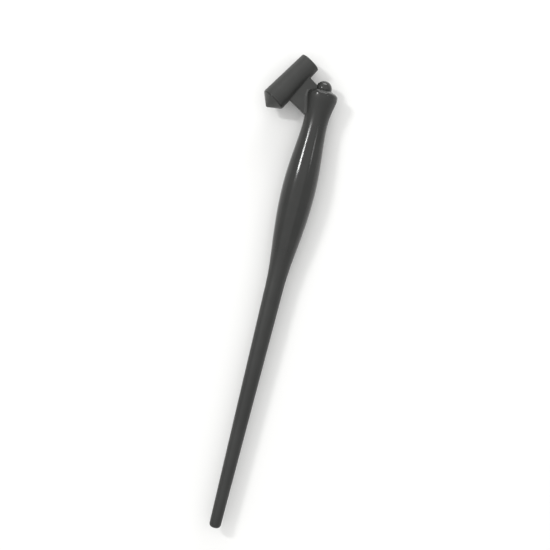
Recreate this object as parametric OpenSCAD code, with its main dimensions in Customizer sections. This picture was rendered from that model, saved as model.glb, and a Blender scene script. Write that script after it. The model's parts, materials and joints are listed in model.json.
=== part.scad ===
// Oblique dip pen holder, without a nib.
// The origin is on the nib's axis in the plane of the barrel's mouth.
// +X runs along the handle towards the writing end, +Y to the barrel's side, +Z up.

/* [Handle] */
// Length from the ball's centre back to the tail end
handle_len = 174.9; // [150:0.1:200]
// Radius of the grip at its fullest
grip_r = 6.51; // [6:0.01:7.2]
// Distance from the ball's centre back to the fullest part of the grip
grip_at = 41.5; // [36:0.5:48]
// Distance from the ball's centre back to where the grip ends and the staff begins
waist_at = 78.5; // [70:0.5:90]
// Radius of the staff just behind the grip
staff_r = 3.61; // [3:0.01:4.4]
// Radius of the staff at its tail
tail_r = 2.25; // [1.8:0.01:2.8]
// Rounding of the tail end
tail_round = 1.5; // [0.5:0.1:1.7]

/* [Head] */
// Radius of the flared head
head_r = 6.1; // [5.9:0.01:7]
// Distance from the ball's centre back to the head's widest part
flare_front = 3.4; // [3.2:0.1:5]
// Distance from the ball's centre back to where the flare begins
flare_back = 13.6; // [12:0.1:16]
// Radius of the throat behind the flare
throat_r = 4.74; // [4.5:0.01:5.2]
// Rounding of the head's front rim
rim_round = 1.4; // [0.8:0.1:1.5]
// Distance from the ball's centre back to the mouth of the head's bore
face_at = 0.65; // [0.4:0.05:0.9]
// Angle at which the head's front face falls back from its bore
face_slope = 26; // [15:1:27]

/* [Ball peg] */
// Radius of the ball
ball_r = 3.1; // [2.8:0.05:3.3]
// Radius of the peg's shank
peg_r = 1.8; // [1.4:0.05:2]
// Distance from the ball's centre back to the end of the shank
peg_end = 17; // [14:0.5:19]

/* [Barrel] */
// Distance from the barrel's mouth to its rear edge
barrel_len = 20.9; // [19:0.1:24]
// Outer radius at the mouth
mouth_r = 4.24; // [4.1:0.01:4.6]
// Outer radius at the rear edge
rear_r = 4.88; // [4.7:0.01:5.4]
// Angle between the barrel and the handle, seen from above
barrel_angle = 30.5; // [25:0.5:36]
// Angle by which the barrel's mouth dips below level
barrel_dip = 4; // [0:0.5:6]
// Distance of the mouth's centre ahead of the ball's centre
mouth_ahead = 9; // [8:0.1:10]
// Distance of the mouth's centre to the side of the handle's axis
mouth_side = 7.48; // [7:0.01:9]
// Height of the handle's axis above the mouth's centre
handle_up = 0.7; // [0:0.1:1]
// Length of the pointed rear end
cone_len = 3.9; // [3:0.1:5]

/* [Web] */
// Thickness of the web between barrel and head
web_t = 4; // [3:0.1:5]
// Distance from the mouth to the web's front edge
web_front = 4.75; // [3.5:0.05:5]
// Width of the web along the barrel
web_w = 11.6; // [10:0.1:13]
// Radius of the fillet between the web and the head's side
fillet_r = 1.3; // [0.8:0.1:1.5]

/* [Nib socket] */
// Inner radius of the steel ring at its mouth, where the nib is led in
lead_r = 3.28; // [3.26:0.01:3.3]
// Inner radius of the steel ring behind its mouth
ring_in_r = 3.08; // [3:0.01:3.1]
// Outer radius of the steel ring
ring_out_r = 3.48; // [3.46:0.01:3.5]
// Length of the steel ring
ring_len = 11.2; // [10:0.1:12]
// Length of the wider mouth of the ring
lead_len = 2.5; // [2:0.1:3]
// Gap between ring and petals that takes the nib
nib_gap = 0.35; // [0.25:0.01:0.45]
// Thickness of the petal spring's sheet
sheet_t = 0.3; // [0.25:0.01:0.35]
// Width of the cuts between the petals
petal_cut = 0.9; // [0.6:0.1:1.4]

/* [Hidden] */
$fn = 96;
charcoal = [0.16, 0.165, 0.16];
steel = [0.72, 0.73, 0.74];
steps = 24;
corner_steps = 8;
// How far a cut runs past the face it opens
over = 1;

// Shape of the grip's swelling ahead of its fullest part and behind it, and of the head's flare
front_ease = 0.84;
back_ease = 1.18;
flare_ease = 0.74;

// Hub of the arm and the bore in the head that takes it, measured back from the ball's centre
hub_r = 3.5;
hub_front = 1.2;
hub_back = 11.4;
// Gap left round the ball where the web comes near it
ball_clear = 0.25;

// Rounding of the barrel's mouth
edge_round = 0.4;
// Radius of the bore through the barrel behind the steel ring
shoulder_r = 2.6;
// Seat of the end plug in the barrel's rear
spigot_r = 3;
spigot_len = 3;
// Rounding of the end plug's point
apex_r = 0.8;

// Front end of the fillets behind the ball's centre, and how far they narrow towards the handle
fillet_front = 1.8;
fillet_in = 1.9;

// Petal spring, measured back from the mouth, with its petals' curled tips
petal_front = lead_len + 0.4;
skirt_front = ring_len - 2.6;
curl_len = 1.2;
curl_in = 0.9;
cut_end = ring_len - 1.5;

// Straight taper of the staff, carried on forward under the grip
function taper(s) = tail_r + (staff_r - tail_r) * (handle_len - s) / (handle_len - waist_at);

// Smooth step from 0 to 1
function ease(t) = t * t * (3 - 2 * t);

// Handle radius at distance s behind the ball's centre, for grip, flare and staff
function grip_bump() = grip_r - taper(grip_at);
function throat_bump() = throat_r - taper(flare_back);
function front_part(s) = pow((s - flare_back) / (grip_at - flare_back), front_ease);
function back_part(s) = pow((s - grip_at) / (waist_at - grip_at), back_ease);
function grip_front(s) = taper(s) + throat_bump() + (grip_bump() - throat_bump()) * ease(front_part(s));
function grip_back(s) = taper(s) + grip_bump() * (1 - ease(back_part(s)));
function flare_part(s) = pow((s - flare_front) / (flare_back - flare_front), flare_ease);
function flare(s) = head_r + (throat_r - head_r) * ease(flare_part(s));

// Evenly spaced values from a to b, without a itself
function run(a, b) = [for (i = [1:steps]) a + (b - a) * i / steps];

// Quarter circle of radius r about [cx, cy], from angle a0 to a1
function arc(cx, cy, r, a0, a1, n) = [
    for (i = [0:n])
        let (a = a0 + (a1 - a0) * i / n)
        [cx + r * cos(a), cy + r * sin(a)]
];

// Places a child drawn along +Z onto the handle's axis, +Z turned to +X
module on_handle() {
    translate([-mouth_ahead, -mouth_side, handle_up])
        rotate([0, 90, 0])
            children();
}

// Places a child drawn along +Z onto the nib's axis, +Z pointing back into the barrel
module on_barrel() {
    rotate([0, 0, 180 - barrel_angle])
        rotate([0, 90 - barrel_dip, 0])
            children();
}

// Distance from the ball's centre back to the middle of the rim's rounding
function rim_back() = face_at + (head_r - rim_round - hub_r) * tan(face_slope) + rim_round / cos(face_slope);

// Outline of the handle, radius against height, +Z forwards
function handle_outline() = concat(
    [[0, -face_at], [hub_r, -face_at]],
    arc(head_r - rim_round, -rim_back(), rim_round, 90 - face_slope, 0, corner_steps),
    [[head_r, -flare_front]],
    [for (s = run(flare_front, flare_back)) [flare(s), -s]],
    [for (s = run(flare_back, grip_at)) [grip_front(s), -s]],
    [for (s = run(grip_at, waist_at)) [grip_back(s), -s]],
    arc(taper(handle_len) - tail_round, -handle_len + tail_round, tail_round, 0, -90, corner_steps),
    [[0, -handle_len]]
);

module handle() {
    color(charcoal)
    difference() {
        on_handle()
            rotate_extrude()
                polygon(handle_outline());
        on_handle()
            translate([0, 0, -hub_back])
                cylinder(r = hub_r, h = hub_back + over);
        on_handle()
            translate([0, 0, -peg_end])
                cylinder(r = peg_r, h = peg_end);
        translate([-mouth_ahead - hub_back, -mouth_side, handle_up - web_t / 2])
            cube([hub_back + over, head_r + over, web_t]);
    }
}

// The web's plate in plan, from inside the barrel to the handle's axis
module web_plan() {
    back_edge = web_front + web_w;
    reach = (mouth_side + back_edge * sin(barrel_angle)) / cos(barrel_angle);
    intersection() {
        rotate(180 - barrel_angle)
            translate([web_front, 0])
                square([web_w, reach]);
        translate([-mouth_ahead - hub_back, -mouth_side])
            square([4 * hub_back, 4 * hub_back]);
    }
}

// Distance from the handle's axis to the fillet's foot on the web, at distance s behind the ball's centre
function fillet_foot(s) = sqrt(pow(flare(s) + fillet_r, 2) - pow(web_t / 2 + fillet_r, 2));

module fillet_plan() {
    polygon(concat(
        [[-hub_back, 0], [-fillet_front, 0], [-fillet_front, head_r]],
        [for (s = run(flare_front, hub_back)) [-s, fillet_foot(s)]]
    ));
}

// Fillets above and below the web, each sloping up to the head's side in two steps
module head_fillets() {
    difference() {
        translate([-mouth_ahead, -mouth_side, handle_up])
            for (side = [0, 1])
                mirror([0, 0, side])
                    hull() {
                        linear_extrude(web_t / 2)
                            fillet_plan();
                        translate([0, -fillet_in / 2, 0])
                            linear_extrude(web_t / 2 + fillet_r / 3)
                                fillet_plan();
                        translate([0, -fillet_in, 0])
                            linear_extrude(web_t / 2 + fillet_r)
                                fillet_plan();
                    }
        on_handle()
            rotate_extrude()
                polygon(handle_outline());
    }
}

module arm() {
    color(charcoal)
    difference() {
        union() {
            head_fillets();
            on_barrel()
                rotate_extrude()
                    polygon(concat(
                        [[0, 0]],
                        arc(mouth_r - edge_round, edge_round, edge_round, -90, 0, corner_steps),
                        [[rear_r, barrel_len], [0, barrel_len]]
                    ));
            translate([0, 0, handle_up - web_t / 2])
                linear_extrude(web_t)
                    web_plan();
            on_handle()
                translate([0, 0, -hub_back])
                    cylinder(r = hub_r, h = hub_back - hub_front);
        }
        on_handle()
            translate([0, 0, -hub_front])
                cylinder(r = ball_r + ball_clear, h = 3 * ball_r);
        on_handle()
            translate([0, 0, -hub_back - over])
                cylinder(r = peg_r, h = hub_back + 2 * over);
        on_barrel()
            translate([0, 0, -over])
                cylinder(r = ring_out_r, h = ring_len + over);
        on_barrel()
            cylinder(r = shoulder_r, h = barrel_len);
        on_barrel()
            translate([0, 0, barrel_len - spigot_len])
                cylinder(r = spigot_r, h = spigot_len + over);
    }
}

module ball_peg() {
    flat_r = sqrt(ball_r * ball_r - hub_front * hub_front);
    low = -asin(hub_front / ball_r);
    color(charcoal)
    on_handle()
        rotate_extrude()
            polygon(concat(
                [[0, -peg_end], [peg_r, -peg_end], [peg_r, -hub_front], [flat_r, -hub_front]],
                [for (i = [1:steps - 1])
                    let (a = low + (90 - low) * i / steps)
                    [ball_r * cos(a), ball_r * sin(a)]],
                [[0, ball_r]]
            ));
}

module end_plug() {
    slope = atan(cone_len / rear_r);
    tip = barrel_len + cone_len;
    color(charcoal)
    on_barrel()
        rotate_extrude()
            polygon(concat(
                [[0, barrel_len - spigot_len], [spigot_r, barrel_len - spigot_len]],
                [[spigot_r, barrel_len], [rear_r, barrel_len]],
                [for (i = [0:corner_steps - 1])
                    let (a = 90 - slope + slope * i / corner_steps)
                    [apex_r * cos(a), tip - apex_r / cos(slope) + apex_r * sin(a)]],
                [[0, tip - apex_r / cos(slope) + apex_r]]
            ));
}

module clip_ring() {
    color(steel)
    on_barrel()
        rotate_extrude()
            polygon([
                [lead_r, 0],
                [ring_out_r, 0],
                [ring_out_r, ring_len],
                [ring_in_r, ring_len],
                [ring_in_r, lead_len],
                [lead_r, lead_len]
            ]);
}

module petal_spring() {
    petal_r = ring_in_r - nib_gap;
    color(steel)
    difference() {
        on_barrel()
            rotate_extrude()
                polygon([
                    [0, ring_len],
                    [ring_in_r, ring_len],
                    [ring_in_r, skirt_front],
                    [petal_r, skirt_front - sheet_t],
                    [petal_r, petal_front + curl_len],
                    [petal_r - curl_in, petal_front],
                    [petal_r - curl_in - sheet_t, petal_front],
                    [petal_r - sheet_t, petal_front + curl_len],
                    [petal_r - sheet_t, skirt_front],
                    [ring_in_r - sheet_t, skirt_front + sheet_t],
                    [ring_in_r - sheet_t, ring_len - sheet_t],
                    [0, ring_len - sheet_t]
                ]);
        for (turn = [45, 135])
            on_barrel()
                rotate([0, 0, turn])
                    translate([-2 * ring_in_r, -petal_cut / 2, 0])
                        cube([4 * ring_in_r, petal_cut, cut_end]);
    }
}

handle();
arm();
ball_peg();
end_plug();
clip_ring();
petal_spring();
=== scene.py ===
"""Oblique dip pen holder: smooth moulded pieces, steel nib clip, stage, lights and camera."""

import json
import math

import bpy
from mathutils import Matrix, Vector

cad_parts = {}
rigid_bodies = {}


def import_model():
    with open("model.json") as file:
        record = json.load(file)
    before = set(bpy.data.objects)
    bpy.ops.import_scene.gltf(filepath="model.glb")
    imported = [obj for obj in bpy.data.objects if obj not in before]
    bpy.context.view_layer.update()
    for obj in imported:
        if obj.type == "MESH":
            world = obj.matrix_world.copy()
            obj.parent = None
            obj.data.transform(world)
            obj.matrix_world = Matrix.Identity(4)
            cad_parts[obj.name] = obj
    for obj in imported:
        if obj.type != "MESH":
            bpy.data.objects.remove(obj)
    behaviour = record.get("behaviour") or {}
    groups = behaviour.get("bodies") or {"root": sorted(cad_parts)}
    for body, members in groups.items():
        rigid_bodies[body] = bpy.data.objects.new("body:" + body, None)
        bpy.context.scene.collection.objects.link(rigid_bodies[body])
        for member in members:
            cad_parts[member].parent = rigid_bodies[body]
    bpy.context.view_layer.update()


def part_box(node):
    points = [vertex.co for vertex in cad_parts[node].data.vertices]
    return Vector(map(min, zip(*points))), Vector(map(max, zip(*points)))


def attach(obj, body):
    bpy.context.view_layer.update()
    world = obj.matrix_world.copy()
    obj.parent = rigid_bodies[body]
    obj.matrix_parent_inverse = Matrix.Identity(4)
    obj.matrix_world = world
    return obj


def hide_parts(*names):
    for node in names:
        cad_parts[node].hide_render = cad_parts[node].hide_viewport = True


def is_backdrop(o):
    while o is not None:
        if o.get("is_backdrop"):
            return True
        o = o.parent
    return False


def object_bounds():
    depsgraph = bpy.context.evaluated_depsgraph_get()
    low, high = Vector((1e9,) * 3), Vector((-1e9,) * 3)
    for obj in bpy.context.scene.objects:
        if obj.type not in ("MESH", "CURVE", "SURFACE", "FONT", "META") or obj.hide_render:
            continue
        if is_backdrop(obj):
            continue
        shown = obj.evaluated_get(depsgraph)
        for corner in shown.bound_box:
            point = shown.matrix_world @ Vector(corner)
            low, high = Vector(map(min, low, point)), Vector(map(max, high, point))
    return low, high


bl_info = {
    "name": "Oblique pen holder",
    "version": (1, 0, 0),
    "blender": (4, 5, 0),
    "location": "3D View > Sidebar > Pen holder",
    "description": "Builds a moulded oblique dip pen holder with its steel nib clip",
    "category": "Add Mesh",
}

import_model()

MM = 0.001
TURN = 2 * math.pi
X, Y, Z = Vector((1, 0, 0)), Vector((0, 1, 0)), Vector((0, 0, 1))
ORIGIN = (0, 0, 0)

# how many flats a full turn has on the handle and on the barrel
HANDLE_STEPS, BARREL_STEPS = 192, 128
# edges that turn by more degrees than this stay crisp
CRISP = 40
# powers that shape the flare, and the grip ahead of its fullest part and behind it
FLARE_EASE, GRIP_FRONT_EASE, GRIP_BACK_EASE = 0.74, 0.84, 1.18
# the bore through the barrel behind the steel ring
SHOULDER_RADIUS = 2.6 * MM
# painted light: how much paler the arm, the plug and the peg are made than the handle, one charcoal plastic
# lifted to stand in for the light that falls on them
ARM_PAINTED_LIGHT, PLUG_PAINTED_LIGHT, PEG_PAINTED_LIGHT = 1.36, 1.95, 1.3


# ---------------------------------------------------------------- sizes and finishes


def size(label, mm, text):
    """A length that a user can change, given in millimetres and kept in metres."""
    return bpy.props.FloatProperty(
        name=label, description=text, default=mm * MM, min=0, precision=5,
        subtype="DISTANCE", unit="LENGTH",
    )


def share(label, value, text, top=1.0):
    """A plain number from 0 to top that a user can change."""
    return bpy.props.FloatProperty(name=label, description=text, default=value, min=0, max=top)


def tilt(label, degrees, text):
    """An angle that a user can change, given in degrees and kept in radians."""
    return bpy.props.FloatProperty(
        name=label, description=text, default=math.radians(degrees), subtype="ANGLE", unit="ROTATION"
    )


def tint(label, rgb, text):
    """A colour that a user can change."""
    return bpy.props.FloatVectorProperty(
        name=label, description=text, default=rgb, size=3, min=0, max=1, subtype="COLOR"
    )


class PEN_PG_sizes(bpy.types.PropertyGroup):
    """Sizes of the pen holder's pieces."""

    grip_radius: size("Grip radius", 6.51, "Radius of the grip at its fullest")
    grip_at: size("Grip place", 41.5, "From the ball's centre back to the fullest part of the grip")
    waist_at: size("Waist place", 78.5, "From the ball's centre back to where the staff begins")
    staff_radius: size("Staff radius", 3.61, "Radius of the staff just behind the grip")
    tail_radius: size("Tail radius", 2.25, "Radius of the staff at its tail")
    tail_round: size("Tail rounding", 1.5, "Rounding of the tail end")
    head_radius: size("Head radius", 6.1, "Radius of the flared head")
    flare_front: size("Flare front", 3.4, "From the ball's centre back to the head's widest part")
    flare_back: size("Flare back", 13.6, "From the ball's centre back to where the flare begins")
    throat_radius: size("Throat radius", 4.74, "Radius of the throat behind the flare")
    rim_round: size("Rim rounding", 1.4, "Rounding of the head's front rim")
    face_at: size("Front face", 0.65, "From the ball's centre back to the mouth of the head's bore")
    hub_radius: size("Hub radius", 3.5, "Radius of the hub and of the bore that it fills")
    hub_front: size("Hub front", 1.2, "From the ball's centre back to the hub's front end")
    hub_back: size("Hub back", 11.4, "From the ball's centre back to the bottom of the bore")
    peg_radius: size("Peg radius", 1.8, "Radius of the peg's shank")
    peg_end: size("Peg end", 17, "From the ball's centre back to the end of the shank")
    ball_radius: size("Ball radius", 3.1, "Radius of the peg's ball")
    ball_room: size("Ball room", 0.25, "Gap round the ball inside the arm")
    barrel_length: size("Barrel length", 20.9, "From the barrel's mouth to its rear edge")
    mouth_radius: size("Mouth radius", 4.24, "Outer radius of the barrel at its mouth")
    mouth_round: size("Mouth rounding", 0.4, "Rounding of the barrel's mouth")
    rear_radius: size("Rear radius", 4.88, "Outer radius of the barrel at its rear edge")
    rear_round: size("Rear rounding", 0.3, "Rounding of the barrel's rear edge")
    plug_round: size("Plug rounding", 0.1, "Rounding of the plug's edge at its seam")
    cone_length: size("Cone length", 3.9, "Length of the plug's point before it is rounded")
    apex_round: size("Apex rounding", 0.8, "Rounding of the plug's point")
    spigot_radius: size("Spigot radius", 3, "Radius of the plug's spigot")
    spigot_length: size("Spigot length", 3, "Length of the plug's spigot")
    web_thickness: size("Web thickness", 4, "Thickness of the web between barrel and head")
    web_front: size("Web front", 4.75, "From the barrel's mouth to the web's front edge")
    web_width: size("Web width", 11.6, "Width of the web along the barrel")
    fillet_round: size("Fillet rounding", 1.3, "Radius of the fillet between web and head")
    web_round: size("Web rounding", 0.35, "Rounding of the web's long edges")
    lead_radius: size("Lead radius", 3.28, "Inner radius of the steel ring at its mouth")
    lead_length: size("Lead length", 2.5, "Length of the wider mouth of the ring")
    ring_inner: size("Ring inside", 3.08, "Inner radius of the steel ring behind its mouth")
    ring_outer: size("Ring outside", 3.48, "Outer radius of the steel ring")
    ring_length: size("Ring length", 11.2, "Length of the steel ring")
    nib_gap: size("Nib gap", 0.35, "Gap between ring and petals that takes the nib")
    sheet: size("Sheet", 0.3, "Thickness of the petal spring's sheet")
    petal_cut: size("Petal cut", 0.9, "Width of the cuts between the petals")
    barrel_angle: tilt("Barrel angle", 30.5, "Angle between the barrel and the handle, seen from above")
    barrel_dip: tilt("Barrel dip", 4, "Angle by which the barrel's mouth dips below level")
    face_slope: tilt("Face slope", 26, "Angle at which the head's front face falls back")


class PEN_PG_finishes(bpy.types.PropertyGroup):
    """Colours and surface qualities of the pen holder."""

    charcoal: tint("Charcoal", (0.023, 0.0235, 0.0225), "Colour of the moulded plastic")
    charcoal_worn: tint("Handled charcoal", (0.029, 0.0295, 0.028), "Its paler patches")
    steel: tint("Steel", (0.62, 0.63, 0.64), "Colour of the nib clip's steel")
    floor: tint("Floor", (0.88, 0.88, 0.87), "Colour of the pale floor")
    satin: share("Satin", 0.44, "Roughness of the satin plastic")
    polish: share("Polish", 0.13, "Roughness of the polished grip")


# ---------------------------------------------------------------- workshop helpers


def put_down():
    """Leaves edit mode and lets go of everything."""
    if bpy.context.object and bpy.context.object.mode != "OBJECT":
        bpy.ops.object.mode_set(mode="OBJECT")
    bpy.ops.object.select_all(action="DESELECT")


def pick_up(piece):
    """Makes one piece the selected and active one."""
    put_down()
    piece.select_set(True)
    bpy.context.view_layer.objects.active = piece


def take_name(name):
    """Names the newest object and applies its place."""
    piece = bpy.context.object
    piece.name = piece.data.name = name
    bpy.ops.object.transform_apply(location=True, rotation=True, scale=True)
    return piece


def draw_outline(name, points):
    """Draws a line of edges through the points, starting from a plane merged to one vertex."""
    put_down()
    bpy.ops.mesh.primitive_plane_add(size=MM, location=points[0])
    piece = take_name(name)
    bpy.ops.object.mode_set(mode="EDIT")
    bpy.ops.mesh.select_all(action="SELECT")
    bpy.ops.mesh.merge(type="CENTER")
    for here, there in zip(points, points[1:]):
        bpy.ops.mesh.extrude_vertices_move(TRANSFORM_OT_translate={"value": there - here})
    return piece


def turn_outline(name, points, centre, axis, steps):
    """Turns an outline about an axis, as on a lathe."""
    piece = draw_outline(name, points)
    bpy.ops.mesh.select_all(action="SELECT")
    bpy.ops.mesh.spin(steps=steps, angle=TURN, center=centre, axis=axis, use_auto_merge=True)
    tidy_skin()
    return piece


def tidy_skin():
    """Merges doubled points and turns all faces outwards."""
    bpy.ops.mesh.select_all(action="SELECT")
    bpy.ops.mesh.remove_doubles(threshold=0.002 * MM)
    bpy.ops.mesh.normals_make_consistent(inside=False)
    bpy.ops.object.mode_set(mode="OBJECT")


def pick_faces(piece, wanted):
    """Selects, in edit mode, only the faces that pass a test."""
    pick_up(piece)
    bpy.ops.object.mode_set(mode="EDIT")
    bpy.ops.mesh.select_mode(type="FACE")
    bpy.ops.mesh.select_all(action="DESELECT")
    bpy.ops.object.mode_set(mode="OBJECT")
    for face in piece.data.polygons:
        face.select = wanted(face)
    bpy.ops.object.mode_set(mode="EDIT")


def keep_main_body(piece):
    """Clears slivers left by a cut: merges close points and drops all but the mouth end's body."""
    pick_up(piece)
    bpy.ops.object.mode_set(mode="EDIT")
    bpy.ops.mesh.select_all(action="SELECT")
    bpy.ops.mesh.dissolve_degenerate(threshold=0.003 * MM)
    bpy.ops.mesh.select_all(action="DESELECT")
    bpy.ops.object.mode_set(mode="OBJECT")
    foremost = max(piece.data.vertices, key=lambda point: point.co.x)
    foremost.select = True
    bpy.ops.object.mode_set(mode="EDIT")
    bpy.ops.mesh.select_linked()
    bpy.ops.mesh.select_all(action="INVERT")
    bpy.ops.mesh.delete(type="VERT")
    tidy_skin()


def apply_modifier(piece, kind, **settings):
    """Adds a modifier, sets it and applies it."""
    pick_up(piece)
    modifier = piece.modifiers.new(kind.title(), kind)
    for key, value in settings.items():
        setattr(modifier, key, value)
    bpy.ops.object.modifier_apply(modifier=modifier.name)


def combine(piece, tool, operation):
    """Adds or cuts away a tool, which is used up."""
    apply_modifier(piece, "BOOLEAN", operation=operation, solver="EXACT", object=tool)
    pick_up(tool)
    bpy.ops.object.delete()


def smooth(piece, degrees):
    """Shades the piece smooth, except across edges sharper than the angle."""
    pick_up(piece)
    bpy.ops.object.shade_smooth_by_angle(angle=math.radians(degrees))


def fit(piece, node, material):
    """Gives a finished piece its material and lets it stand for its node."""
    piece.data.materials.clear()
    piece.data.materials.append(material)
    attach(piece, "root")
    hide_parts(node)


def quarter(centre, radius, start, end, steps=8):
    """Points on an arc as (along, out) pairs, angles in degrees from the outward direction."""
    turned = []
    for step in range(steps + 1):
        angle = math.radians(start + (end - start) * step / steps)
        turned.append((centre[0] + radius * math.sin(angle), centre[1] + radius * math.cos(angle)))
    return turned


def ease(t):
    """Smooth step from 0 to 1."""
    return t * t * (3 - 2 * t)


def spaced(start, end, pitch):
    """Evenly spaced values up to and with the end, without the start."""
    count = max(1, round(abs(end - start) / pitch))
    return [start + (end - start) * step / count for step in range(1, count + 1)]


# ---------------------------------------------------------------- places


def ball_centre():
    """Centre of the peg's ball, from the frame's own peg."""
    low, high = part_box("ball_peg")
    middle = (Vector(low) + Vector(high)) / 2
    return Vector((high[0] - sizes().ball_radius, middle.y, middle.z))


def tail_at():
    """Distance from the ball's centre back to the tail end."""
    return ball_centre().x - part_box("handle")[0][0]


def sizes():
    return bpy.context.scene.pen_sizes


def finishes():
    return bpy.context.scene.pen_finishes


def barrel_back():
    """Direction from the barrel's mouth to its rear."""
    angle, dip = sizes().barrel_angle, sizes().barrel_dip
    level = Vector((-math.cos(angle), math.sin(angle), 0))
    return level * math.cos(dip) + Z * math.sin(dip)


def barrel_side():
    """Level direction across the barrel, away from the handle."""
    return barrel_back().cross(Z).normalized()


def barrel_top():
    """Direction across the barrel, upwards."""
    return barrel_side().cross(barrel_back()).normalized()


def flare(back):
    """Radius of the flared head at a distance back from the ball's centre."""
    s = sizes()
    part = ((back - s.flare_front) / (s.flare_back - s.flare_front)) ** FLARE_EASE
    return s.head_radius + (s.throat_radius - s.head_radius) * ease(part)


def handle_points(outline):
    """(distance back from the ball, radius) pairs as points beside the handle's axis."""
    ball = ball_centre()
    return [ball - X * back + Z * out for back, out in outline]


def barrel_points(outline):
    """(distance back from the mouth, radius) pairs as points beside the barrel's axis."""
    back, top = barrel_back(), barrel_top()
    return [back * along + top * out for along, out in outline]


# ---------------------------------------------------------------- materials


class Recipe:
    """A material's node tree, with short calls to add and join nodes."""

    def __init__(self, name):
        self.material = bpy.data.materials.new(name)
        self.material.use_nodes = True
        self.tree = self.material.node_tree
        self.shader = self.tree.nodes["Principled BSDF"]
        place = self.tree.nodes.new("ShaderNodeTexCoord")
        self.place = self.add("ShaderNodeMapping", {"Scale": (1 / MM,) * 3}, Vector=place.outputs["Object"])

    def add(self, kind, values=None, attributes=None, **links):
        """Adds a node, sets its attributes and values, and joins its inputs."""
        node = self.tree.nodes.new(kind)
        for key, value in (attributes or {}).items():
            setattr(node, key, value)
        for key, value in (values or {}).items():
            node.inputs[key].default_value = value
        for key, source in links.items():
            self.join(source, node.inputs[key.replace("_", " ")])
        return node

    def join(self, source, target):
        """Joins an output, or a node's first output, to an input."""
        output = source.outputs[0] if hasattr(source, "outputs") else source
        self.tree.links.new(output, target)

    def along(self, axis):
        """Distance in millimetres along an axis through the origin."""
        node = self.add("ShaderNodeVectorMath", attributes={"operation": "DOT_PRODUCT"})
        self.join(self.place, node.inputs[0])
        node.inputs[1].default_value = axis
        return node.outputs["Value"]

    def noise(self, scale, detail=2.0, stretch=None):
        """Noise at so many features a millimetre, optionally stretched along an axis."""
        place = self.place
        if stretch:
            place = self.add("ShaderNodeMapping", {"Scale": stretch}, Vector=self.place.outputs[0])
        return self.add("ShaderNodeTexNoise", {"Scale": scale, "Detail": detail}, Vector=place.outputs[0])

    def remap(self, source, low, high, new_low, new_high):
        """Moves a value from one range to another and clamps it."""
        values = {"From Min": low, "From Max": high, "To Min": new_low, "To Max": new_high}
        return self.add("ShaderNodeMapRange", values, Value=source)

    def sum(self, first, second, operation="ADD"):
        """Joins two values by arithmetic."""
        node = self.add("ShaderNodeMath", attributes={"operation": operation})
        for source, target in zip((first, second), node.inputs):
            if isinstance(source, (int, float)):
                target.default_value = source
            else:
                self.join(source, target)
        return node

    def blend(self, factor, first, second):
        """Mixes two colours by a factor."""
        node = self.add("ShaderNodeMix", attributes={"data_type": "RGBA"})
        self.join(factor, node.inputs["Factor"])
        node.inputs["A"].default_value = (*first, 1)
        node.inputs["B"].default_value = (*second, 1)
        return node.outputs["Result"]

    def bump(self, height, distance_mm, strength=1.0):
        """Raises the surface by a height map."""
        node = self.add("ShaderNodeBump", {"Distance": distance_mm * MM, "Strength": strength}, Height=height)
        self.join(node, self.shader.inputs["Normal"])


def parting_line(recipe, top, height_mm):
    """A hairline raised where the two mould halves met, on a plane at a height along its normal."""
    away = recipe.sum(recipe.sum(recipe.along(top), height_mm, "SUBTRACT"), 0.0, "ABSOLUTE")
    return recipe.remap(away.outputs[0], 0.03, 0.09, 1.0, 0.0)


def moulded_plastic(name, top, height_mm, polished=(), painted_light=1.0):
    """Charcoal moulded plastic: satin skin, faint flow marks, hairline scratches, parting line.

    The mould parts on the plane with the normal top, height_mm from the origin. Each polished
    zone is an axis with the millimetres along it where the gloss starts and ends, and how softly.
    The last argument is painted light: it makes the plastic paler to stand in for the light that falls on the
    piece.
    """
    looks = finishes()
    recipe = Recipe(name)
    shader = recipe.shader
    shader.inputs["IOR"].default_value = 1.5
    shader.inputs["Specular IOR Level"].default_value = 0.35
    flow = recipe.noise(0.12, 3.0)
    grain = recipe.noise(5.0, 3.0)
    scratch = recipe.noise(1.0, 2.0, stretch=(0.05, 5.0, 5.0))
    hairline = recipe.remap(scratch.outputs[0], 0.66, 0.72, 0.0, 1.0)
    patch = recipe.remap(flow.outputs[0], 0.35, 0.7, 0.0, 1.0)
    # painted light: both tones are lifted by one factor to stand in for the light that falls on the piece
    fresh_with_painted_light = [part * painted_light for part in looks.charcoal]
    worn_with_painted_light = [part * painted_light for part in looks.charcoal_worn]
    recipe.join(recipe.blend(patch, fresh_with_painted_light, worn_with_painted_light), shader.inputs["Base Color"])
    line = parting_line(recipe, top, height_mm)
    skin = recipe.remap(grain.outputs[0], 0.3, 0.7, looks.satin - 0.04, looks.satin + 0.05)
    gloss = recipe.sum(0.0, 0.0)
    for axis, start, end, soft in polished:
        along = recipe.along(axis)
        rise = recipe.remap(along, start - soft, start + soft, 0.0, 1.0)
        fall = recipe.remap(along, end - soft, end + soft, 1.0, 0.0)
        gloss = recipe.sum(gloss, recipe.sum(rise, fall, "MULTIPLY"))
    skin = recipe.sum(skin, recipe.sum(gloss, looks.satin - looks.polish, "MULTIPLY"), "SUBTRACT")
    rough = recipe.sum(skin, recipe.sum(hairline, 0.06, "MULTIPLY"))
    recipe.join(rough, shader.inputs["Roughness"])
    depth = recipe.remap(gloss, 0.0, 1.0, 0.06, 0.006)
    fine = recipe.sum(recipe.sum(grain, depth, "MULTIPLY"), recipe.sum(flow, 0.9, "MULTIPLY"))
    cut = recipe.sum(fine, recipe.sum(hairline, recipe.sum(depth, 3.0, "MULTIPLY"), "MULTIPLY"), "SUBTRACT")
    recipe.bump(recipe.sum(cut, recipe.sum(line, 1.6, "MULTIPLY")), 0.02)
    return recipe.material


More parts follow.
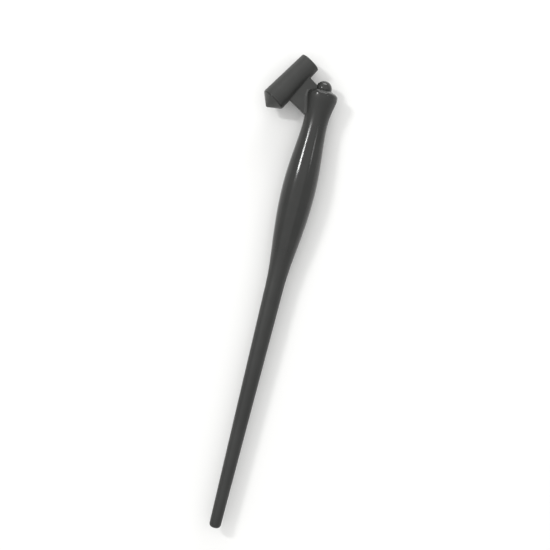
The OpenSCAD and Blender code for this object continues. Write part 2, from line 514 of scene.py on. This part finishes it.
def spring_steel(name):
    """Bright drawn steel with fine lines round it and a faint warm cast."""
    looks = finishes()
    recipe = Recipe(name)
    shader = recipe.shader
    shader.inputs["Metallic"].default_value = 1.0
    lines = recipe.noise(1.0, 3.0, stretch=(9.0, 9.0, 9.0))
    stain = recipe.noise(0.5, 2.0)
    patch = recipe.remap(stain.outputs[0], 0.35, 0.7, 0.0, 1.0)
    dull = [part * 0.82 for part in looks.steel]
    recipe.join(recipe.blend(patch, looks.steel, dull), shader.inputs["Base Color"])
    recipe.join(recipe.remap(lines.outputs[0], 0.3, 0.7, 0.18, 0.34), shader.inputs["Roughness"])
    recipe.bump(lines, 0.006)
    return recipe.material


def pale_floor(name):
    """Pale matt floor."""
    recipe = Recipe(name)
    mottle = recipe.noise(0.02, 2.0)
    colour = finishes().floor
    darker = [part * 0.985 for part in colour]
    recipe.join(recipe.blend(mottle, colour, darker), recipe.shader.inputs["Base Color"])
    recipe.shader.inputs["Roughness"].default_value = 0.85
    return recipe.material


# ---------------------------------------------------------------- pieces


class PEN_OT_handle(bpy.types.Operator):
    """Turns the handle, with its grip, head and bores, and slots the head for the web"""

    bl_idname = "pen.handle"
    bl_label = "Handle"

    def execute(self, context):
        s = sizes()
        ball, tail = ball_centre(), tail_at()
        pitch, fine = 0.6 * MM, 0.35 * MM

        def taper(back):
            return s.tail_radius + (s.staff_radius - s.tail_radius) * (tail - back) / (tail - s.waist_at)

        fullness = s.grip_radius - taper(s.grip_at)
        at_throat = s.throat_radius - taper(s.flare_back)

        def grip_front(back):
            part = ((back - s.flare_back) / (s.grip_at - s.flare_back)) ** GRIP_FRONT_EASE
            return taper(back) + at_throat + (fullness - at_throat) * ease(part)

        def grip_back(back):
            part = ((back - s.grip_at) / (s.waist_at - s.grip_at)) ** GRIP_BACK_EASE
            return taper(back) + fullness * (1 - ease(part))

        # the bore's bottom, its wall and the chamfer at its mouth
        chamfer = 0.12 * MM
        outline = [(s.peg_end, 0), (s.peg_end, s.peg_radius), (s.hub_back, s.peg_radius)]
        outline += [(s.hub_back, s.hub_radius), (s.face_at + chamfer, s.hub_radius)]
        outline += [(s.face_at, s.hub_radius + chamfer)]
        # the sloping front face and the rounded rim
        slope = s.face_slope
        fall = (s.head_radius - s.rim_round - s.hub_radius) * math.tan(slope)
        rim = (s.face_at + fall + s.rim_round / math.cos(slope), s.head_radius - s.rim_round)
        outline += quarter(rim, s.rim_round, math.degrees(slope) - 90, 0, 10)
        outline += [(back, s.head_radius) for back in spaced(rim[0], s.flare_front, fine)]
        outline += [(back, flare(back)) for back in spaced(s.flare_front, s.flare_back, fine)]
        outline += [(back, grip_front(back)) for back in spaced(s.flare_back, s.grip_at, pitch)]
        outline += [(back, grip_back(back)) for back in spaced(s.grip_at, s.waist_at, pitch)]
        outline += [(back, taper(back)) for back in spaced(s.waist_at, tail - s.tail_round, pitch * 4)]
        outline += quarter((tail - s.tail_round, taper(tail) - s.tail_round), s.tail_round, 0, 90, 8)[1:]
        # the shallow ring that the mould's gate leaves in the tail end
        gate = 0.45 * MM
        outline += [(tail, gate * 1.5), (tail - gate * 0.3, gate * 1.3), (tail - gate * 0.3, gate)]
        outline += [(tail, gate * 0.9), (tail, 0)]
        handle = turn_outline("handle_moulding", handle_points(outline), ball, X, HANDLE_STEPS)

        put_down()
        bpy.ops.mesh.primitive_cube_add(size=1, location=ball)
        slot = take_name("slot_cutter")
        reach, depth = s.head_radius + MM, s.hub_back + MM
        bpy.ops.object.mode_set(mode="EDIT")
        bpy.ops.mesh.select_all(action="SELECT")
        bpy.ops.transform.resize(value=(depth, reach, s.web_thickness), center_override=ball)
        move = Vector(((MM - s.hub_back) / 2, reach / 2, 0))
        bpy.ops.transform.translate(value=move)
        bpy.ops.object.mode_set(mode="OBJECT")
        combine(handle, slot, "DIFFERENCE")
        smooth(handle, 32)
        # the grip is polished, and so is the head's front
        at = ball.x / MM
        glossy = [(X, at - 66, at - 14, 8), (X, at - 3.4, at + 10, 0.8)]
        fit(handle, "handle", moulded_plastic("handle_plastic", Z, ball.z / MM, glossy))
        return {"FINISHED"}


class PEN_OT_arm(bpy.types.Operator):
    """Moulds the arm in one: barrel, web and hub, then bores it"""

    bl_idname = "pen.arm"
    bl_label = "Arm"

    def execute(self, context):
        handle = bpy.data.objects.get("handle_moulding")
        if handle is None:
            raise RuntimeError("Turn the handle first: the arm is fitted to its head")
        s = sizes()
        ball, back = ball_centre(), barrel_back()
        length, edge = s.barrel_length, s.rear_round
        outline = [(0, 0)]
        outline += quarter((s.mouth_round, s.mouth_radius - s.mouth_round), s.mouth_round, -90, 0, 8)
        slope = (s.rear_radius - s.mouth_radius) / (length - s.mouth_round)
        outline += [(along, s.mouth_radius + slope * (along - s.mouth_round))
                    for along in spaced(s.mouth_round, length - edge, MM)]
        outline += quarter((length - edge, s.rear_radius - edge), edge, 0, 90, 4)[1:]
        outline += [(length, 0)]
        arm = turn_outline("arm_moulding", barrel_points(outline), ORIGIN, back, BARREL_STEPS)

        combine(arm, self.web(ball, back), "UNION")
        combine(arm, self.fillet(ball), "UNION")
        middle = (s.hub_front + s.hub_back) / 2
        put_down()
        bpy.ops.mesh.primitive_cylinder_add(
            vertices=96, radius=s.hub_radius, depth=s.hub_back - s.hub_front,
            location=ball - X * middle, rotation=(0, math.pi / 2, 0),
        )
        combine(arm, take_name("hub"), "UNION")
        # one skin over all three, with the soft inner corners of a moulding
        apply_modifier(arm, "REMESH", mode="VOXEL", voxel_size=0.17 * MM, use_smooth_shade=True)
        apply_modifier(arm, "SMOOTH", factor=0.5, iterations=7)
        room = s.ball_radius + s.ball_room
        deep = s.hub_back + MM
        ahead = -4 * s.ball_radius
        cut = [(deep, 0), (deep, s.peg_radius), (s.hub_front, s.peg_radius)]
        cut += [(s.hub_front, room), (ahead, room), (ahead, 0)]
        combine(arm, turn_outline("peg_cutter", handle_points(cut), ball, X, 96), "DIFFERENCE")
        chamfer = 0.1 * MM
        lip = s.ring_outer + chamfer
        spigot = length - s.spigot_length
        cut = [(-MM, 0), (-MM, lip), (0, lip), (chamfer, s.ring_outer), (s.ring_length, s.ring_outer)]
        cut += [(s.ring_length, SHOULDER_RADIUS), (spigot, SHOULDER_RADIUS), (spigot, s.spigot_radius)]
        cut += [(length + MM, s.spigot_radius), (length + MM, 0)]
        bore = turn_outline("bore_cutter", barrel_points(cut), ORIGIN, back, BARREL_STEPS)
        combine(arm, bore, "DIFFERENCE")
        apply_modifier(arm, "BOOLEAN", operation="DIFFERENCE", solver="EXACT", object=handle)
        keep_main_body(arm)
        smooth(arm, CRISP)
        glossy = [(back, length / MM - 0.5, length / MM + 9, 0.2)]
        # painted light: the arm is lifted paler to stand in for the light on its barrel and web
        fit(arm, "arm", moulded_plastic("arm_plastic", barrel_top(), 0, glossy, ARM_PAINTED_LIGHT))
        return {"FINISHED"}

    def web(self, ball, back):
        """The web's plate, from inside the barrel to the handle's axis."""
        s = sizes()
        level = Vector((back.x, back.y, 0)).normalized()
        across = -barrel_side()
        stop = ball.x - s.hub_back
        front = level * s.web_front
        rear = level * (s.web_front + s.web_width)
        corners = [rear, front]
        corners += [front + across * ((ball.y - front.y) / across.y)]
        corners += [Vector((stop, ball.y, 0))]
        corners += [rear + across * ((stop - rear.x) / across.x)]
        half = Z * (s.web_thickness / 2)
        web = draw_outline("web", [corner + Z * ball.z - half for corner in corners])
        bpy.ops.mesh.select_all(action="SELECT")
        bpy.ops.mesh.edge_face_add()
        bpy.ops.mesh.extrude_region_move(TRANSFORM_OT_translate={"value": 2 * half})
        bpy.ops.mesh.select_all(action="SELECT")
        bpy.ops.mesh.normals_make_consistent(inside=False)
        bpy.ops.mesh.select_all(action="DESELECT")
        bpy.ops.object.mode_set(mode="OBJECT")
        for rib in web.data.edges:
            ends = [web.data.vertices[i].co for i in rib.vertices]
            rib.select = abs(ends[0].z - ends[1].z) < 0.1 * MM
        bpy.ops.object.mode_set(mode="EDIT")
        bpy.ops.mesh.bevel(offset=s.web_round, segments=3, affect="EDGES")
        bpy.ops.object.mode_set(mode="OBJECT")
        return web

    def fillet(self, ball):
        """The fillet between the web and the head's side, above and below the web."""
        s = sizes()
        half, round_off = s.web_thickness / 2, s.fillet_round
        inside, front = 3 * MM, 1.8 * MM
        plan = [(s.hub_back, inside), (front, inside), (front, s.head_radius)]
        for back in spaced(s.flare_front, s.hub_back, MM):
            foot = math.sqrt((flare(back) + round_off) ** 2 - (half + round_off) ** 2)
            plan.append((back, foot))
        # it rises from the web in a low step and a high one, and ends inside the head
        low, high, inward = round_off / 3, round_off * 2 / 3, 0.95 * MM
        start = Z * (-half - low - high - MM) - Y * 3 * inward
        fillet = draw_outline("fillet", [ball + Vector((-back, out, 0)) + start for back, out in plan])
        bpy.ops.mesh.select_all(action="SELECT")
        bpy.ops.mesh.edge_face_add()
        outward = Y * inward
        rises = [outward + Z * rise for rise in (MM, high, low)]
        falls = [Z * rise - outward for rise in (low, high, MM)]
        for step in (*rises, Z * 2 * half, *falls):
            bpy.ops.mesh.extrude_region_move(TRANSFORM_OT_translate={"value": step})
        tidy_skin()
        return fillet


class PEN_OT_ball_peg(bpy.types.Operator):
    """Shapes the ball-headed peg from a sphere: cut flat, inset and drawn out to a shank"""

    bl_idname = "pen.ball_peg"
    bl_label = "Ball peg"

    def execute(self, context):
        s = sizes()
        ball = ball_centre()
        put_down()
        bpy.ops.mesh.primitive_uv_sphere_add(
            segments=96, ring_count=64, radius=s.ball_radius, location=ball, rotation=(0, math.pi / 2, 0)
        )
        peg = take_name("ball_headed_peg")
        bpy.ops.object.mode_set(mode="EDIT")
        bpy.ops.mesh.select_all(action="SELECT")
        seat = ball - X * s.hub_front
        # a fine threshold, so that the cut doesn't snap to the sphere's own rings
        bpy.ops.mesh.bisect(
            plane_co=seat, plane_no=X, use_fill=True, clear_inner=True, threshold=0.001 * MM
        )
        pick_faces(peg, lambda face: face.normal.x < -0.99 and abs(face.center.x - seat.x) < 0.05 * MM)
        flat = math.sqrt(s.ball_radius**2 - s.hub_front**2)
        bpy.ops.mesh.inset(thickness=flat - s.peg_radius)
        # the shank runs back to its end, which is chamfered
        chamfer, narrowing = 0.3 * MM, 0.86
        shank = s.hub_front - s.peg_end + chamfer
        bpy.ops.mesh.extrude_region_move(TRANSFORM_OT_translate={"value": X * shank})
        bpy.ops.mesh.extrude_region_move(TRANSFORM_OT_translate={"value": -X * chamfer})
        bpy.ops.transform.resize(value=(1, narrowing, narrowing), center_override=ball)
        bpy.ops.mesh.select_mode(type="VERT")
        tidy_skin()
        smooth(peg, CRISP)
        glossy = [(X, ball.x / MM - 6, ball.x / MM + 9, 2)]
        # painted light: the peg is lifted paler to stand in for the light on its ball
        fit(peg, "ball_peg", moulded_plastic("peg_plastic", Z, ball.z / MM, glossy, PEG_PAINTED_LIGHT))
        return {"FINISHED"}


class PEN_OT_end_plug(bpy.types.Operator):
    """Turns the pointed plug that closes the barrel's rear"""

    bl_idname = "pen.end_plug"
    bl_label = "End plug"

    def execute(self, context):
        s = sizes()
        length, edge = s.barrel_length, s.plug_round
        slope = math.atan(s.cone_length / s.rear_radius)
        tip = length + s.cone_length
        apex = tip - s.apex_round / math.cos(slope)
        outline = [(length - s.spigot_length, 0), (length - s.spigot_length, s.spigot_radius)]
        outline += [(length, s.spigot_radius)]
        # the rounded foot's centre lies an edge's radius inside both the flat and the cone
        inset = edge * (1 + math.sin(slope)) / math.cos(slope)
        foot = (length + edge, s.rear_radius - inset)
        lean = math.degrees(slope)
        outline += quarter(foot, edge, -90, 90 - lean, 5)
        outline += quarter((apex, 0), s.apex_round, 90 - lean, 90, 6)[:-1]
        outline += [(apex + s.apex_round, 0)]
        plug = turn_outline("barrel_end_plug", barrel_points(outline), ORIGIN, barrel_back(), BARREL_STEPS)
        smooth(plug, CRISP)
        glossy = [(barrel_back(), length / MM - 9, length / MM + 9, 1)]
        # painted light: the plug is lifted paler to stand in for the light on its cone
        fit(plug, "end_plug", moulded_plastic("plug_plastic", barrel_top(), 0, glossy, PLUG_PAINTED_LIGHT))
        return {"FINISHED"}


class PEN_OT_clip_ring(bpy.types.Operator):
    """Rolls the steel ring and cuts the seam where its ends meet"""

    bl_idname = "pen.clip_ring"
    bl_label = "Clip ring"

    def execute(self, context):
        s = sizes()
        back = barrel_back()
        lip = (s.ring_outer - s.lead_radius) / 2
        outline = [(lip, s.lead_radius)]
        outline += quarter((lip, s.lead_radius + lip), lip, -180, 0, 8)[1:]
        outline += [(along, s.ring_outer) for along in spaced(lip, s.ring_length, MM)]
        outline += [(s.ring_length, s.ring_inner), (s.lead_length + 0.2 * MM, s.ring_inner)]
        outline += [(s.lead_length, s.lead_radius), (lip, s.lead_radius)]
        ring = turn_outline("nib_clip_ring", barrel_points(outline), ORIGIN, back, BARREL_STEPS)

        # a thin cutter below the ring's axis, laid along the barrel
        put_down()
        bpy.ops.mesh.primitive_cube_add(size=1, location=ORIGIN)
        saw = take_name("seam_cutter")
        saw_size = (3 * s.ring_length, 0.1 * MM, s.ring_outer)
        bpy.ops.object.mode_set(mode="EDIT")
        bpy.ops.mesh.select_all(action="SELECT")
        bpy.ops.transform.resize(value=saw_size, center_override=ORIGIN)
        bpy.ops.transform.translate(value=-Z * s.ring_outer)
        bpy.ops.object.mode_set(mode="OBJECT")
        saw.matrix_world = matrix_of(-back, -barrel_side(), barrel_top(), ORIGIN)
        pick_up(saw)
        bpy.ops.object.transform_apply(location=True, rotation=True, scale=True)
        combine(ring, saw, "DIFFERENCE")
        smooth(ring, CRISP)
        fit(ring, "clip_ring", spring_steel("ring_steel"))
        return {"FINISHED"}


class PEN_OT_petal_spring(bpy.types.Operator):
    """Forms the spring inside the ring: turned as one skin, slit into four petals, given its wall"""

    bl_idname = "pen.petal_spring"
    bl_label = "Petal spring"

    def execute(self, context):
        s = sizes()
        back = barrel_back()
        petal = s.ring_inner - s.nib_gap
        front = s.lead_length + 0.4 * MM
        skirt = s.ring_length - 2.6 * MM
        neck = skirt - 0.35 * MM
        cut_end = s.ring_length - 1.5 * MM
        vent, corner = 0.5 * MM, 0.4 * MM
        curl, curl_turn = 1.2 * MM, 68
        outline = [(s.ring_length, vent), (s.ring_length, s.ring_inner - corner)]
        outline += quarter((s.ring_length - corner, s.ring_inner - corner), corner, 90, 0, 4)[1:]
        outline += [(along, s.ring_inner) for along in spaced(s.ring_length - corner, skirt, 0.4 * MM)]
        outline += [(neck, petal)]
        outline += [(along, petal) for along in spaced(neck, front + curl, 0.6 * MM)]
        outline += quarter((front + curl, petal - curl), curl, 0, -curl_turn, 8)[1:]
        spring = turn_outline("petal_spring_sheet", barrel_points(outline), ORIGIN, back, 96)

        def in_a_cut(face):
            side, up = face.center @ barrel_side(), face.center @ barrel_top()
            nearest = min(abs(side + up), abs(side - up)) / math.sqrt(2)
            return nearest < s.petal_cut / 2 and face.center @ back < cut_end

        pick_faces(spring, in_a_cut)
        bpy.ops.mesh.delete(type="FACE")
        bpy.ops.mesh.select_mode(type="VERT")
        bpy.ops.object.mode_set(mode="OBJECT")
        apply_modifier(spring, "SOLIDIFY", thickness=s.sheet, offset=-1, use_even_offset=True)
        apply_modifier(spring, "BEVEL", width=0.05 * MM, segments=2, limit_method="ANGLE", angle_limit=1.0)
        smooth(spring, CRISP)
        fit(spring, "petal_spring", spring_steel("spring_steel"))
        return {"FINISHED"}


class PEN_OT_stage(bpy.types.Operator):
    """Lays the pale floor and sets the soft lights and the camera"""

    bl_idname = "pen.stage"
    bl_label = "Stage"

    def execute(self, context):
        ball = ball_centre()
        # the handle leans this much from the upright in the camera's view
        lean = math.radians(14.03)
        right = Vector((math.sin(lean), -math.cos(lean), 0))
        view_width, distance = 212.8 * MM, 0.62
        middle = ball - X * 74.4 * MM + Y * 0.9 * MM
        self.floor(middle)
        grip = ball - X * 25 * MM
        self.lamp("key_light", grip, Vector((0.225, 0.62, 0.75)), 1.2, (0.18, 0.11), 3.7)
        self.lamp("fill_light", grip, Vector((0.27, -0.58, 0.75)), 1.2, (0.16, 0.1), 0.3)
        self.lamp("front_light", ball, Vector((1, 0, 0.3)), 1.2, (0.8, 0.35), 7)
        self.lamp("top_light", middle, Vector((0, 0.22, 0.97)), 1.6, (2.4, 2.4), 7)
        world = bpy.data.worlds.new("studio_air")
        world.use_nodes = True
        air = world.node_tree.nodes["Background"]
        air.inputs["Color"].default_value = (1, 1, 1, 1)
        air.inputs["Strength"].default_value = 0.76
        context.scene.world = world
        context.scene.view_settings.view_transform = "Standard"

        camera = bpy.data.cameras.new("camera")
        camera.lens = camera.sensor_width * distance / view_width
        camera.clip_start, camera.clip_end = 0.01, 10
        holder = bpy.data.objects.new("camera", camera)
        context.scene.collection.objects.link(holder)
        holder.location = middle + Z * distance
        holder.rotation_euler = (0, 0, math.atan2(right.y, right.x))
        context.scene.camera = holder
        return {"FINISHED"}

    def floor(self, middle):
        put_down()
        low = min(corner[2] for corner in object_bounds())
        bpy.ops.mesh.primitive_plane_add(size=6, location=(middle.x, middle.y, low))
        floor = take_name("floor")
        floor.data.materials.append(pale_floor("floor_paint"))
        floor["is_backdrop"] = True

    def lamp(self, name, target, direction, distance, shape, power):
        """A soft panel that looks at the target from a direction; its long side follows the handle."""
        data = bpy.data.lights.new(name, "AREA")
        data.shape = "RECTANGLE"
        data.size, data.size_y = shape
        data.energy = power
        lamp = bpy.data.objects.new(name, data)
        bpy.context.scene.collection.objects.link(lamp)
        lamp.location = target + direction.normalized() * distance
        towards = -direction.normalized()
        side = towards.cross(X if abs(towards.x) < 0.8 else Z).normalized()
        along = side.cross(towards).normalized()
        lamp.matrix_world = matrix_of(side, along, -towards, lamp.location)


def matrix_of(side, along, back, place):
    """A turn and place built from three directions and a point."""
    turn = Matrix((side, along, back)).transposed().to_4x4()
    turn.translation = place
    return turn


STEPS = (
    PEN_OT_handle, PEN_OT_arm, PEN_OT_ball_peg, PEN_OT_end_plug,
    PEN_OT_clip_ring, PEN_OT_petal_spring, PEN_OT_stage,
)


class PEN_PT_panel(bpy.types.Panel):
    """Lists the pen holder's steps"""

    bl_idname = "PEN_PT_panel"
    bl_label = "Pen holder"
    bl_space_type = "VIEW_3D"
    bl_region_type = "UI"
    bl_category = "Pen holder"

    def draw(self, context):
        for step in STEPS:
            self.layout.operator(step.bl_idname)
        for group in (sizes(), finishes()):
            for key in group.__annotations__:
                self.layout.prop(group, key)


CLASSES = (PEN_PG_sizes, PEN_PG_finishes, *STEPS, PEN_PT_panel)


def register():
    for each in CLASSES:
        bpy.utils.register_class(each)
    bpy.types.Scene.pen_sizes = bpy.props.PointerProperty(type=PEN_PG_sizes)
    bpy.types.Scene.pen_finishes = bpy.props.PointerProperty(type=PEN_PG_finishes)


def unregister():
    del bpy.types.Scene.pen_finishes
    del bpy.types.Scene.pen_sizes
    for each in reversed(CLASSES):
        bpy.utils.unregister_class(each)


def main():
    register()
    bpy.ops.pen.handle()
    bpy.ops.pen.arm()
    bpy.ops.pen.ball_peg()
    bpy.ops.pen.end_plug()
    bpy.ops.pen.clip_ring()
    bpy.ops.pen.petal_spring()
    bpy.ops.pen.stage()


if __name__ == "__main__":
    main()
